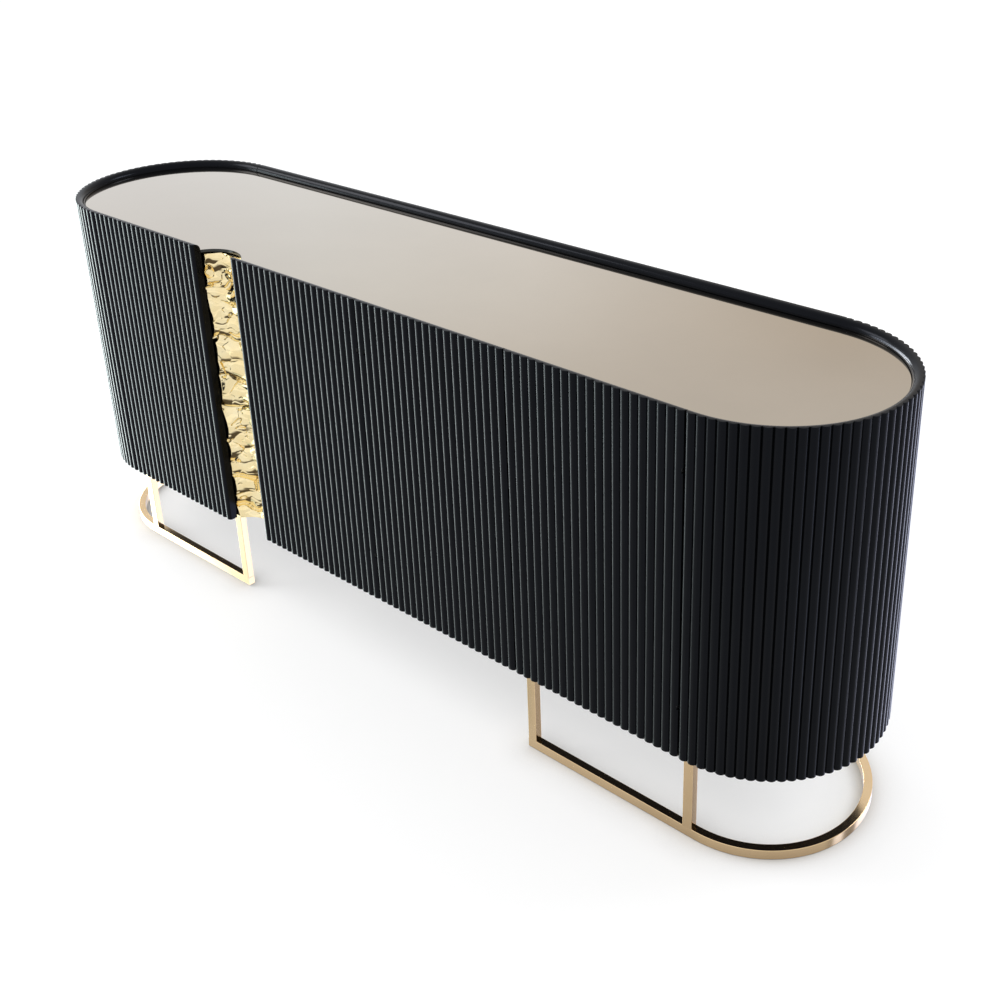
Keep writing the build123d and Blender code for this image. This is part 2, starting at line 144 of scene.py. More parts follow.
STUDIO_FAR_FLOOR = [
    (-180, (0.92, 0.92, 0.94)),
    *FLOOR_IN_FRONT,
    (108, (0.86, 0.86, 0.86)),
    (126, (0.60, 0.60, 0.60)),
    (150, (0.92, 0.92, 0.94)),
    (180, (0.92, 0.92, 0.94)),
]
STUDIO_STRIP = [
    (-180, (1.05, 1.05, 1.05)),
    (-114, (1.05, 1.05, 1.06)),
    (-110, (24.0, 25.0, 26.0)),
    (-60, (24.0, 25.0, 26.0)),
    (-55, (1.05, 1.05, 1.05)),
    (180, (1.05, 1.05, 1.05)),
]
STUDIO_WALL = [
    (-180, (0.74, 0.68, 0.61)),
    (-152, (0.745, 0.685, 0.615)),
    (-138, (1.02, 1.03, 1.05)),
    (-128, (1.03, 1.07, 1.12)),
    (-122, (0.98, 1.01, 1.06)),
    (-60, (1.10, 1.10, 1.10)),
    (60, (0.90, 0.90, 0.92)),
    (180, (0.74, 0.68, 0.61)),
]
STUDIO_CEILING = [(-180, (0.84, 0.84, 0.85)), (0, (1.00, 1.00, 1.00)), (180, (0.84, 0.84, 0.85))]
STUDIO_STRENGTH = 26.0
STUDIO_STEPS = ((-0.43, -0.39), (-0.06, 0.0), (0.13, 0.18), (0.36, 0.46))  # rises where they meet
SHADE_HEIGHTS = (-0.80, -0.60)
SHADE = [(0, (0.10, 0.085, 0.07)), (1, (1, 1, 1))]  # the floor straight below lies in shade


# ================= mesh helpers =================
def add_object(name, mesh, body, materials):
    """Put a finished mesh in the scene as a piece of one CAD body."""
    piece = bpy.data.objects.new(name, mesh)
    bpy.context.scene.collection.objects.link(piece)
    for material in materials:
        mesh.materials.append(material)
    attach(piece, body)
    return piece


def smooth(mesh, angle=SHARP_ANGLE):
    """Smooth shading between sharp edges, with large flat faces kept flat."""
    mesh.polygons.foreach_set("use_smooth", [True] * len(mesh.polygons))
    mesh.set_sharp_from_angle(angle=angle)
    return applied(mesh, [("WEIGHTED_NORMAL", {"keep_sharp": True, "weight": 100})])


def mesh_from(name, points, faces):
    mesh = bpy.data.meshes.new(name)
    mesh.from_pydata([tuple(p) for p in points], [], faces)
    mesh.validate()
    mesh.update()
    return mesh


def loft(name, rings):
    """Closed skin over rings of the same number of points, with flat ends."""
    count = len(rings[0])
    points = [p for ring in rings for p in ring]
    faces = []
    for i in range(len(rings) - 1):
        for j in range(count):
            k = (j + 1) % count
            faces.append((i * count + j, i * count + k, (i + 1) * count + k, (i + 1) * count + j))
    last = (len(rings) - 1) * count
    faces.append(tuple(range(count - 1, -1, -1)))
    faces.append(tuple(range(last, last + count)))
    return outward(mesh_from(name, points, faces))


def outward(mesh):
    """Turn all faces to the outside."""
    bm = bmesh.new()
    bm.from_mesh(mesh)
    bmesh.ops.remove_doubles(bm, verts=bm.verts, dist=1e-6)
    bmesh.ops.recalc_face_normals(bm, faces=bm.faces)
    bm.to_mesh(mesh)
    bm.free()
    mesh.update()
    return mesh


def applied(mesh, modifiers):
    """The mesh after modifiers, each a (type, settings) pair."""
    holder = bpy.data.objects.new("holder", mesh)
    bpy.context.scene.collection.objects.link(holder)
    for kind, settings in modifiers:
        modifier = holder.modifiers.new(kind, kind)
        for key, value in settings.items():
            setattr(modifier, key, value)
    graph = bpy.context.evaluated_depsgraph_get()
    made = bpy.data.meshes.new_from_object(holder.evaluated_get(graph))
    bpy.data.objects.remove(holder)
    return made


def combined(mesh, others, operation):
    """Mesh after a boolean with each of the other meshes."""
    for other in others:
        tool = bpy.data.objects.new("tool", other)
        bpy.context.scene.collection.objects.link(tool)
        settings = {"operation": operation, "object": tool, "solver": "EXACT"}
        mesh = applied(mesh, [("BOOLEAN", settings)])
        bpy.data.objects.remove(tool)
    return mesh


def block_mesh(low, high):
    """Sharp box between two corners."""
    bm = bmesh.new()
    bmesh.ops.create_cube(bm, size=1)
    size = Vector(high) - Vector(low)
    middle = (Vector(high) + Vector(low)) / 2
    for v in bm.verts:
        v.co = Vector((v.co.x * size.x, v.co.y * size.y, v.co.z * size.z)) + middle
    mesh = bpy.data.meshes.new("block")
    bm.to_mesh(mesh)
    bm.free()
    return mesh


def rounded(mesh, width, segments=3, angle=SHARP_ANGLE):
    settings = {"width": width, "segments": segments, "limit_method": "ANGLE", "angle_limit": angle}
    return smooth(applied(mesh, [("BEVEL", settings)]))


def flipped(mesh):
    """A copy on the other side of X = 0."""
    points = [(-v.co.x, v.co.y, v.co.z) for v in mesh.vertices]
    faces = [tuple(reversed(face.vertices)) for face in mesh.polygons]
    return smooth(mesh_from(mesh.name, points, faces))


def corner_arc(middle, radius, start, end, steps):
    """Points of an arc, as (across, up), from one angle to the other."""
    angles = [start + (end - start) * k / steps for k in range(steps + 1)]
    return [(middle[0] + radius * math.cos(a), middle[1] + radius * math.sin(a)) for a in angles]


# ================= materials =================
def new_material(name):
    material = bpy.data.materials.new(name)
    material.use_nodes = True
    tree = material.node_tree
    return material, tree, tree.nodes["Principled BSDF"]


def object_coordinates(tree, scale=(1, 1, 1)):
    place = tree.nodes.new("ShaderNodeTexCoord")
    mapping = tree.nodes.new("ShaderNodeMapping")
    mapping.inputs["Scale"].default_value = scale
    tree.links.new(place.outputs["Object"], mapping.inputs["Vector"])
    return mapping.outputs["Vector"]


def noise_node(tree, vector, scale, detail=2.0, roughness=0.5):
    node = tree.nodes.new("ShaderNodeTexNoise")
    node.inputs["Scale"].default_value = scale
    node.inputs["Detail"].default_value = detail
    node.inputs["Roughness"].default_value = roughness
    tree.links.new(vector, node.inputs["Vector"])
    return node.outputs["Fac"]


def ramp_node(tree, factor, stops):
    """Colour ramp; each stop is (place, colour)."""
    node = tree.nodes.new("ShaderNodeValToRGB")
    node.color_ramp.elements[0].position = stops[0][0]
    node.color_ramp.elements[0].color = (*stops[0][1], 1)
    node.color_ramp.elements[1].position = stops[-1][0]
    node.color_ramp.elements[1].color = (*stops[-1][1], 1)
    for place, colour in stops[1:-1]:
        element = node.color_ramp.elements.new(place)
        element.color = (*colour, 1)
    tree.links.new(factor, node.inputs["Fac"])
    return node.outputs["Color"]


def range_node(tree, factor, low, high):
    node = tree.nodes.new("ShaderNodeMapRange")
    node.inputs["To Min"].default_value = low
    node.inputs["To Max"].default_value = high
    tree.links.new(factor, node.inputs["Value"])
    return node.outputs["Result"]


def bump(tree, shader, height, strength, distance):
    node = tree.nodes.new("ShaderNodeBump")
    node.inputs["Strength"].default_value = strength
    node.inputs["Distance"].default_value = distance
    tree.links.new(height, node.inputs["Height"])
    tree.links.new(node.outputs["Normal"], shader.inputs["Normal"])


def black_lacquer():
    """Satin black lacquer with a faint orange peel and soft wear in its sheen."""
    material, tree, shader = new_material("black_lacquer")
    place = object_coordinates(tree)
    broad = noise_node(tree, place, 9, 3)
    peel = noise_node(tree, place, 700, 2)
    stops = [(0.3, (0.0012, 0.0014, 0.0017)), (0.7, (0.0018, 0.0021, 0.0025))]
    colour = ramp_node(tree, broad, stops)
    tree.links.new(colour, shader.inputs["Base Color"])
    tree.links.new(range_node(tree, broad, 0.16, 0.22), shader.inputs["Roughness"])
    shader.inputs["Specular IOR Level"].default_value = 0.12
    shader.inputs["Specular Tint"].default_value = (0.74, 0.80, 1, 1)
    bump(tree, shader, peel, 0.05, 0.0002)
    return material


def bronze_mirror():
    """Bronze-tinted mirror under clear glass."""
    material, tree, shader = new_material("bronze_mirror")
    place = object_coordinates(tree)
    haze = noise_node(tree, place, 6, 4, 0.6)
    colour = ramp_node(tree, haze, [(0.3, (0.44, 0.365, 0.268)), (0.7, (0.46, 0.382, 0.282))])
    tree.links.new(colour, shader.inputs["Base Color"])
    tree.links.new(range_node(tree, haze, 0.03, 0.06), shader.inputs["Roughness"])
    shader.inputs["Metallic"].default_value = 1
    shader.inputs["Coat Weight"].default_value = 1
    shader.inputs["Coat Roughness"].default_value = 0.02
    shader.inputs["Coat IOR"].default_value = 1.52
    return material


def glass_edge():
    """Cut edge of the mirror glass, dark with a polished sheen."""
    material, tree, shader = new_material("glass_edge")
    place = object_coordinates(tree)
    bands = noise_node(tree, place, 60, 2)
    colour = ramp_node(tree, bands, [(0.35, (0.006, 0.007, 0.006)), (0.65, (0.016, 0.017, 0.014))])
    tree.links.new(colour, shader.inputs["Base Color"])
    tree.links.new(range_node(tree, bands, 0.12, 0.22), shader.inputs["Roughness"])
    return material


def gold_relief():
    """Polished pale gold whose tone varies at random."""
    material, tree, shader = new_material("gold_relief")
    place = object_coordinates(tree)
    tint = noise_node(tree, place, 26, 3)
    fine = noise_node(tree, place, 260, 3)
    colour = ramp_node(tree, tint, [(0.3, (0.95, 0.765, 0.41)), (0.7, (0.98, 0.85, 0.54))])
    tree.links.new(colour, shader.inputs["Base Color"])
    tree.links.new(range_node(tree, fine, 0.06, 0.13), shader.inputs["Roughness"])
    shader.inputs["Metallic"].default_value = 1
    bump(tree, shader, fine, 0.06, 0.0004)
    return material


def champagne_metal():
    """Champagne-gold plating over polished steel tube."""
    material, tree, shader = new_material("champagne_metal")
    place = object_coordinates(tree)
    tint = noise_node(tree, place, 12, 3)
    fine = noise_node(tree, place, 420, 2)
    colour = ramp_node(tree, tint, [(0.3, (0.80, 0.58, 0.34)), (0.7, (0.85, 0.63, 0.38))])
    tree.links.new(colour, shader.inputs["Base Color"])
    tree.links.new(range_node(tree, fine, 0.10, 0.19), shader.inputs["Roughness"])
    shader.inputs["Metallic"].default_value = 1
    bump(tree, shader, fine, 0.03, 0.0002)
    return material


def veneer(name, grain):
    """Smoked oak veneer; grain is 0, 1 or 2 for X, Y or Z."""
    material, tree, shader = new_material(name)
    scale = [22, 22, 22]
    scale[grain] = 1.1
    place = object_coordinates(tree, scale)
    figure = noise_node(tree, place, 1.6, 5, 0.6)
    pores = noise_node(tree, place, 26, 3, 0.7)
    colour = ramp_node(
        tree,
        figure,
        [(0.3, (0.052, 0.030, 0.017)), (0.5, (0.096, 0.057, 0.033)), (0.72, (0.150, 0.093, 0.055))],
    )
    tree.links.new(colour, shader.inputs["Base Color"])
    tree.links.new(range_node(tree, pores, 0.42, 0.60), shader.inputs["Roughness"])
    bump(tree, shader, pores, 0.25, 0.0003)
    return material


def zinc_steel():
    """Bright zinc plating with fine rolling marks."""
    material, tree, shader = new_material("zinc_steel")
    place = object_coordinates(tree, (1, 1, 9))
    marks = noise_node(tree, place, 160, 3)
    colour = ramp_node(tree, marks, [(0.3, (0.50, 0.51, 0.52)), (0.7, (0.66, 0.67, 0.68))])
    tree.links.new(colour, shader.inputs["Base Color"])
    tree.links.new(range_node(tree, marks, 0.22, 0.38), shader.inputs["Roughness"])
    shader.inputs["Metallic"].default_value = 1
    bump(tree, shader, marks, 0.05, 0.0002)
    return material


def coated(name, dark, light, rough, grain, depth):
    """Painted or moulded surface with a fine grain."""
    material, tree, shader = new_material(name)
    place = object_coordinates(tree)
    texture = noise_node(tree, place, grain, 3)
    colour = ramp_node(tree, texture, [(0.3, dark), (0.7, light)])
    sheen = range_node(tree, texture, rough - 0.06, rough + 0.06)
    tree.links.new(colour, shader.inputs["Base Color"])
    tree.links.new(sheen, shader.inputs["Roughness"])
    bump(tree, shader, texture, 0.3, depth)
    return material


def floor_material():
    """Pale floor with a painted glow, dimmed close under the object as a painted contact shadow."""
    material, tree, shader = new_material("studio_floor")
    shader.inputs["Base Color"].default_value = (0.48, 0.48, 0.48, 1)
    shader.inputs["Roughness"].default_value = 0.9
    shader.inputs["Specular IOR Level"].default_value = 0.1
    shader.inputs["Emission Color"].default_value = (1, 1, 1, 1)
    # painted contact shadow: the floor's painted glow fades where nearby parts hem it in
    contact = tree.nodes.new("ShaderNodeAmbientOcclusion")
    contact.samples = 8
    contact.inputs["Distance"].default_value = CONTACT_REACH
    deeper = tree.nodes.new("ShaderNodeMath")
    deeper.operation = "POWER"
    deeper.inputs[1].default_value = CONTACT_POWER
    tree.links.new(contact.outputs["AO"], deeper.inputs[0])
    glow = range_node(tree, deeper.outputs["Value"], 0, FLOOR_GLOW)
    tree.links.new(glow, shader.inputs["Emission Strength"])
    material.cycles.emission_sampling = "NONE"
    return material


# ================= reeded doors and ends =================
def reed_stations(count, pitch):
    """(length along the face, depth below the crests) over a row of half-round reeds."""
    half = pitch / 2
    radius = (half**2 + REED_DEPTH**2) / (2 * REED_DEPTH)
    reach = math.asin(half / radius)
    stations = [(0.0, REED_DEPTH)]
    for reed in range(count):
        for step in range(1, REED_STEPS + 1):
            angle = reach * (2 * step / REED_STEPS - 1)
            along = reed * pitch + half + radius * math.sin(angle)
            stations.append((along, radius - radius * math.cos(angle)))
    return stations


def rim_roll(ridge, thickness):
    """The rim's quarter round as (depth, drop) points, from its ridge down to the glass."""
    reach = thickness - ridge
    turns = [math.pi / 2 * k / ROUND_STEPS for k in range(ROUND_STEPS + 1)]
    return [(ridge + reach * math.sin(t), RIM_DROP * (1 - math.cos(t))) for t in turns]


def face_section(depth, ridge, thickness, low, high):
    """Upright section of a face as (depth, height) points; the front edges are eased."""
    ease = min(EDGE_ROUND, (ridge - depth) / 2)
    soft = ease * (1 - math.sqrt(0.5))
    front = [
        (depth + ease, low),
        (depth + soft, low + soft),
        (depth, low + ease),
        (depth, high - ease),
        (depth + soft, high - soft),
        (depth + ease, high),
    ]
    roll = [(d, high - drop) for d, drop in rim_roll(ridge, thickness)]
    back = [(thickness, low + EDGE_ROUND), (thickness - EDGE_ROUND, low)]
    return front + roll + back


def reeded_mesh(name, spot, count, pitch, low, high):
    """Reeded face along a path; spot(length, depth) is a point of its plan."""
    rings = []
    for along, depth in reed_stations(count, pitch):
        section = face_section(depth, RIDGE_DEPTH, FACE_T, low, high)
        rings.append([(*spot(along, d), z) for d, z in section])
    return smooth(loft(name, rings))


def hinge_kerfs(number, edge, side):
    """Cutters for the slots that the hinges turn in."""
    arms = f"door_{number}_hinge_arms"
    low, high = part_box(arms)
    heights = sorted({round(p.co.z, 4) for p in frame["nodes"][arms].data.vertices})
    middle = (low.z + high.z) / 2
    lower = [z for z in heights if z < middle]
    upper = [z for z in heights if z > middle]
    x0, x1 = sorted((edge - side * KERF_OUT, edge + side * KERF_IN))
    cutters = []
    for group in (lower, upper):
        z = (group[0] + group[-1]) / 2
        low_corner = (x0, KERF_FRONT_Y, z - KERF_HALF)
        high_corner = (x1, KERF_BACK_Y, z + KERF_HALF)
        cutters.append(block_mesh(low_corner, high_corner))
    return cutters


def make_door(number, hinge_on_left):
    """Door skin with fine reeds, in place of the plainer CAD one."""
    node = f"door_{number}"
    low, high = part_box(node)
    count = round((high.x - low.x) / REED_PITCH)
    pitch = (high.x - low.x) / count

    def spot(along, depth):
        return (low.x + along, low.y + depth)

    mesh = reeded_mesh(node, spot, count, pitch, low.z, high.z)
    edge, side = (low.x, 1) if hinge_on_left else (high.x, -1)
    mesh = smooth(combined(mesh, hinge_kerfs(number, edge, side), "DIFFERENCE"))
    piece = add_object(f"{node}_reeded_face", mesh, f"{node}_body", [LACQUER])
    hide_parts(node)


def end_path():
    """Plan of the right end as a function of length and depth, its count of reeds, their pitch."""
    low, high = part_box("end_panel_right")
    radius = (high.y - low.y) / 2
    tangent_x = high.x - radius
    straight = tangent_x - low.x
    length = straight + math.pi * radius
    count = round(length / REED_PITCH)

    def spot(along, depth):
        if along < straight:
            return (low.x + along, low.y + depth)
        angle = (along - straight) / radius
        reach = radius - depth
        return (tangent_x + reach * math.sin(angle), -reach * math.cos(angle))

    return spot, count, length / count


def make_ends():
    """Half-round reeded ends."""
    spot, count, pitch = end_path()
    low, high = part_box("end_panel_right")
    right = reeded_mesh("end_panel", spot, count, pitch, low.z, high.z)
    for side, mesh in (("right", right), ("left", flipped(right))):
        piece = add_object(f"end_{side}_reeded_face", mesh, "root", [LACQUER])
        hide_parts(f"end_panel_{side}")


def make_back():
    """Plain back panel with the same rim."""
    low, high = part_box("back_panel")
    thickness = high.y - low.y
    section = face_section(0, RIDGE_DEPTH, thickness, low.z, high.z)
    rings = [[(x, high.y - d, z) for d, z in section] for x in (low.x, high.x)]
    mesh = smooth(loft("back", rings))
    piece = add_object("back_panel_lacquered", mesh, "root", [LACQUER])
    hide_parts("back_panel")


# ================= plates: boards and glass =================
def arc_points(middle, radius, start, end, steps):
    return corner_arc(middle, radius, math.radians(start), math.radians(end), steps)


def stadium(front, back, radius, tangent_x, notch):
    """Outline of a board with half-round ends; notch is its front cut-out, left to right."""
    right = arc_points((tangent_x, 0), radius, -90, 90, ARC_STEPS)
    left = arc_points((-tangent_x, 0), radius, 90, 270, ARC_STEPS)
    if back < radius:
        right = [p for p in right if p[1] < back] + [(right[-1][0], back)]
        left = [(left[0][0], back)] + [p for p in left if p[1] < back]
    if front > -radius:
        right = [(right[0][0], front)] + [p for p in right if p[1] > front]
        left = [p for p in left if p[1] > front] + [(left[-1][0], front)]
    return right + left + notch


def inset(outline, amount):
    """Outline taken in by an amount, with mitred corners."""
    count = len(outline)
    made = []
    for i in range(count):
        before = Vector(outline[i]) - Vector(outline[i - 1])
        after = Vector(outline[(i + 1) % count]) - Vector(outline[i])
        n0 = Vector((-before.y, before.x)).normalized()
        n1 = Vector((-after.y, after.x)).normalized()
        mitre = (n0 + n1).normalized()
        made.append(Vector(outline[i]) + mitre * amount / max(0.4, mitre.dot(n0)))
    return made


def plate_mesh(name, outline, low, high, ease):
    """Flat plate with eased edges. Material 0 is on the sides, 1 on top and 2 underneath."""
    count = len(outline)
    taken = inset(outline, ease)
    soft = inset(outline, ease * (1 - math.sqrt(0.5)))
    slip = ease * (1 - math.sqrt(0.5))
    layers = [
        (taken, low),
        (soft, low + slip),
        (outline, low + ease),
        (outline, high - ease),
        (soft, high - slip),
        (taken, high),
    ]
    points = [(p[0], p[1], z) for ring, z in layers for p in ring]
    faces = []
    for i in range(len(layers) - 1):
        for j in range(count):
            k = (j + 1) % count
            faces.append((i * count + j, i * count + k, (i + 1) * count + k, (i + 1) * count + j))
    top = (len(layers) - 1) * count
    faces.append(tuple(range(top, top + count)))
    faces.append(tuple(range(count - 1, -1, -1)))
    mesh = mesh_from(name, points, faces)
    mesh.polygons[len(faces) - 2].material_index = 1
    mesh.polygons[len(faces) - 1].material_index = 2
    return smooth(mesh)


def niche_axis():
    """Middle of the niche's round plan: its X from the relief's box, its Y from the glass."""
    low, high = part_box("niche_relief")
    return Vector(((low.x + high.x) / 2, high.y - RELIEF_OUTER))


def make_glass():
    """Sunk mirror glass, notched round the niche."""
    low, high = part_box("top_glass")
    radius = high.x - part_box("back_panel")[1].x
    tangent_x = high.x - radius
    axis = niche_axis()
    reach = math.degrees(math.acos((low.y - axis.y) / GLASS_NOTCH))
    notch = arc_points(axis, GLASS_NOTCH, 90 + reach, 90 - reach, NOTCH_STEPS)
    outline = stadium(low.y, high.y, radius, tangent_x, notch)
    mesh = plate_mesh("glass", outline, low.z, high.z, GLASS_ROUND)
    materials = [GLASS_EDGE, MIRROR, GLASS_EDGE]
    piece = add_object("top_glass_sheet", mesh, "root", materials)
    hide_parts("top_glass")


def make_panels():
    """Top and bottom panels of the carcass, cut away for the niche core."""
    core_low, core_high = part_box("niche_core")
    faces = {
        "top_panel": (VENEER_X, LACQUER, VENEER_X),
        "bottom_panel": (VENEER_X, VENEER_X, LACQUER),
    }
    for node, materials in faces.items():
        low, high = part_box(node)
        tangent_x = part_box("back_panel")[1].x
        radius = high.x - tangent_x
        notch = [
            (core_low.x, low.y),
            (core_low.x, core_high.y),
            (core_high.x, core_high.y),
            (core_high.x, low.y),
        ]
        outline = stadium(low.y, high.y, radius, tangent_x, notch)
        mesh = plate_mesh(node, outline, low.z, high.z, BOARD_ROUND)
        piece = add_object(f"{node}_board", mesh, "root", materials)
        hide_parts(node)


def make_boards():
    """Shelves and partitions with eased edges; the grain runs along the longer way."""
    shelves = [f"shelf_{bay}" for bay in ("left", "centre", "right")]
    walls = ["end_partition_left", "end_partition_right", "centre_partition"]
    walls += ["niche_partition_left", "niche_partition_right"]
    for node in shelves + walls:
        low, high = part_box(node)
        mesh = rounded(block_mesh(low, high), BOARD_ROUND)
        material = VENEER_X if node in shelves else VENEER_Z
        piece = add_object(f"{node}_board", mesh, "root", [material])
        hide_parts(node)


# ================= gold relief =================
def cells(rng, width, height, across, up):
    """Jittered cell centres, rows shifted like bricks."""
    centres = []
    rows = int(height / up) + 3
    columns = int(width / across) + 3
    for row in range(-1, rows):
        for column in range(-1, columns):
            shift = 0.5 * (row % 2)
            x = (column + shift + rng.uniform(-0.36, 0.36)) * across
            y = (row + rng.uniform(-0.34, 0.34)) * up
            centres.append((x, y, rng.uniform(-1, 1), rng.uniform(-1, 1)))
    return np.array(centres)


def folded(u, v, centres, across, up):
    """Bowls that meet in sharp ridges, each tilted its own way."""
    best = np.full(u.shape, 1e9)
    tilt = np.zeros(u.shape)
    for x, y, tilt_u, tilt_v in centres:
        du = (u - x) / across
        dv = (v - y) / up
        away = np.sqrt(du**2 + dv**2 + 0.02)
        near = away < best
        best = np.where(near, away, best)
        tilt = np.where(near, du * tilt_u + dv * tilt_v, tilt)
    return best, tilt


def warp(u, v, scale, amount, offset):
    """Bend the grid with smooth noise, so that no fold is straight."""
    moved_u = np.empty_like(u)
    moved_v = np.empty_like(v)
    for i in np.ndindex(u.shape):
        p = Vector((u[i] / scale, v[i] / scale, offset))
        moved_u[i] = u[i] + amount * noise.noise(p)
        moved_v[i] = v[i] + amount * noise.noise(p + Vector((9.1, 4.7, 2.3)))
    return moved_u, moved_v


def dents(rng, u, v, width, height, count, long, short):
    """Lens-shaped hollows with a sharp brim; long and short are ranges of half lengths."""
    total = np.zeros(u.shape)
    for _ in range(count):
        x, y = rng.uniform(0.05, 0.95) * width, rng.uniform(0.01, 0.99) * height
        lean = rng.uniform(-0.4, 0.4)
        half, half_across = rng.uniform(*long), rng.uniform(*short)
        du, dv = u - x, v - y
        along = (du * math.cos(lean) + dv * math.sin(lean)) / half
        across = (dv * math.cos(lean) - du * math.sin(lean)) / half_across
        hollow = np.clip(1 - along**2 - across**2, 0, 1) ** 0.55
        total = np.maximum(total, hollow * rng.uniform(0.6, 1))
    return total


def relief_height(u, v):
    """Height of the crumpled sheet, from 0 in its deepest hollow to 1 on its highest fold."""
    rng = np.random.RandomState(RELIEF_SEED)
    width, height = u.max(), v.max()
    warped_u, warped_v = warp(u, v, 42 * MM, 19 * MM, 0.5)
    centres = cells(rng, width, height, *BIG_FOLD)
    best, tilt = folded(warped_u, warped_v, centres, *BIG_FOLD)
    total = 1 - (best / 0.60) ** 1.5 + 1.1 * tilt
    fine_u, fine_v = warp(u, v, 20 * MM, 9 * MM, 3.5)
    centres = cells(rng, width, height, *SMALL_FOLD)
    best, tilt = folded(fine_u, fine_v, centres, *SMALL_FOLD)
    crumple = 0.5 + 0.9 * np.clip(v / height - 0.55, 0, 1) / 0.45
    total += crumple * (0.26 * (1 - best / 0.7) + 0.42 * tilt)
    total -= 0.95 * dents(rng, warped_u, warped_v, width, height, *BIG_DENTS)
    total -= 0.35 * dents(rng, fine_u, fine_v, width, height, *SMALL_DENTS)
    low, high = np.percentile(total, 1), np.percentile(total, 99.7)
    return np.clip((total - low) / (high - low), 0, 1)


def blur(field, rounds):
    """Soften the sharpest ridges a little."""
    for _ in range(rounds):
        padded = np.pad(field, 1, mode="edge")
        field = (
            padded[1:-1, 1:-1] * 4
            + padded[:-2, 1:-1]
            + padded[2:, 1:-1]
            + padded[1:-1, :-2]
            + padded[1:-1, 2:]
        ) / 8
    return field


def make_relief():
    """Crumpled gold sheet that lines the niche."""
    low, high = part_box("niche_relief")
    axis = niche_axis()
    reach = math.acos((low.y - axis.y) / RELIEF_OUTER)
    columns = int(2 * reach * RELIEF_OUTER / RELIEF_STEP)
    rows = int((high.z - low.z) / RELIEF_STEP)
    angles = np.linspace(-reach, reach, columns)
    heights = np.linspace(low.z, high.z - RELIEF_TOP_GAP, rows)
    around, up = np.meshgrid(angles, heights)
    field = blur(relief_height((around + reach) * RELIEF_OUTER, up - low.z), 2)
    radius = RELIEF_FAR + (RELIEF_NEAR - RELIEF_FAR) * field
    front = relief_points(axis, radius, around, up, low.y)
    back = relief_points(axis, np.full(radius.shape, RELIEF_BACK), around, up, low.y)
    mesh = shell_mesh("relief", front, back)
    piece = add_object("niche_gold_relief", mesh, "root", [GOLD])
    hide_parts("niche_relief")


def relief_points(axis, radius, around, up, front_y):
    """Points of the curved sheet, kept behind the front edge of the niche."""
    x = axis.x + radius * np.sin(around)
    y = np.maximum(axis.y + radius * np.cos(around), front_y)
    return np.stack([x, y, up], axis=-1)


def shell_mesh(name, front, back):
    """Closed sheet between two grids of points."""
    rows, columns = front.shape[:2]
    points = np.concatenate([front.reshape(-1, 3), back.reshape(-1, 3)])
    offset = rows * columns

    def at(row, column, side):
        return side * offset + row * columns + column

    faces = []
    for r in range(rows - 1):
        for c in range(columns - 1):
            faces.append((at(r, c, 0), at(r, c + 1, 0), at(r + 1, c + 1, 0), at(r + 1, c, 0)))
            faces.append((at(r, c, 1), at(r + 1, c, 1), at(r + 1, c + 1, 1), at(r, c + 1, 1)))
    for r in range(rows - 1):
        for c in (0, columns - 1):
            faces.append((at(r, c, 0), at(r + 1, c, 0), at(r + 1, c, 1), at(r, c, 1)))
    for c in range(columns - 1):
        for r in (0, rows - 1):
            faces.append((at(r, c, 0), at(r, c + 1, 0), at(r, c + 1, 1), at(r, c, 1)))
    return smooth(outward(mesh_from(name, points, faces)), RELIEF_SHARP)


# ================= bases =================
def eased_rectangle(width, height, ease):
    """Outline of a tube's section from (0, 0), its corners rounded."""
    corners = [
        ((ease, ease), math.pi),
        ((width - ease, ease), 1.5 * math.pi),
        ((width - ease, height - ease), 0),
        ((ease, height - ease), 0.5 * math.pi),
    ]
    outline = []
    for middle, start in corners:
        outline += corner_arc(middle, ease, start, start + math.pi / 2, TUBE_ROUND_STEPS)
    return outline


def rail_mesh():
    """Bent floor rail of the right side."""
    low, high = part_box("base_right_floor_rail")
    radius = high.y
    arc_x = high.x - radius
    stations = [((low.x, -radius), (0, -1)), ((arc_x, -radius), (0, -1))]
    for k in range(1, ARC_STEPS):
        angle = math.pi * k / ARC_STEPS - math.pi / 2
        normal = (math.cos(angle), math.sin(angle))
        stations.append(((arc_x + radius * normal[0], radius * normal[1]), normal))
    stations += [((arc_x, radius), (0, 1)), ((low.x, radius), (0, 1))]
    section = eased_rectangle(TUBE_WIDTH, high.z - low.z, TUBE_ROUND)
    rings = []
    for (x, y), (nx, ny) in stations:
        rings.append([(x - nx * depth, y - ny * depth, low.z + rise) for depth, rise in section])
    return smooth(loft("rail", rings))


def leg_mesh():
    """The four legs of the right side, their outer faces polished flush with the rail."""
    legs_low, legs_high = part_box("base_right_legs")
    plate_low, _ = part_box("base_right_plates")
    start = legs_low.z - TUBE_ROUND
    section = eased_rectangle(LEG_WIDTH, TUBE_WIDTH, TUBE_ROUND)
    ends = (start, plate_low.z)
    bm = bmesh.new()
    for x in (legs_low.x, legs_high.x - LEG_WIDTH):
        for y in (legs_low.y - FLUSH, legs_high.y + FLUSH - TUBE_WIDTH):
            rings = [[(x + across, y + depth, z) for across, depth in section] for z in ends]
            bm.from_mesh(loft("leg", rings))
    mesh = bpy.data.meshes.new("legs")
    bm.to_mesh(mesh)
    bm.free()
    return smooth(mesh)


def make_bases():
    """Floor rails and legs of both bases."""
    rail = rail_mesh()
    legs = leg_mesh()
    for side, turn in (("right", lambda mesh: mesh), ("left", flipped)):
        piece = add_object(f"base_{side}_rail_tube", turn(rail), "root", [CHAMPAGNE])
        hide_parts(f"base_{side}_floor_rail", "base_end_caps")
        piece = add_object(f"base_{side}_leg_tubes", turn(legs), "root", [CHAMPAGNE])
        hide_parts(f"base_{side}_legs")


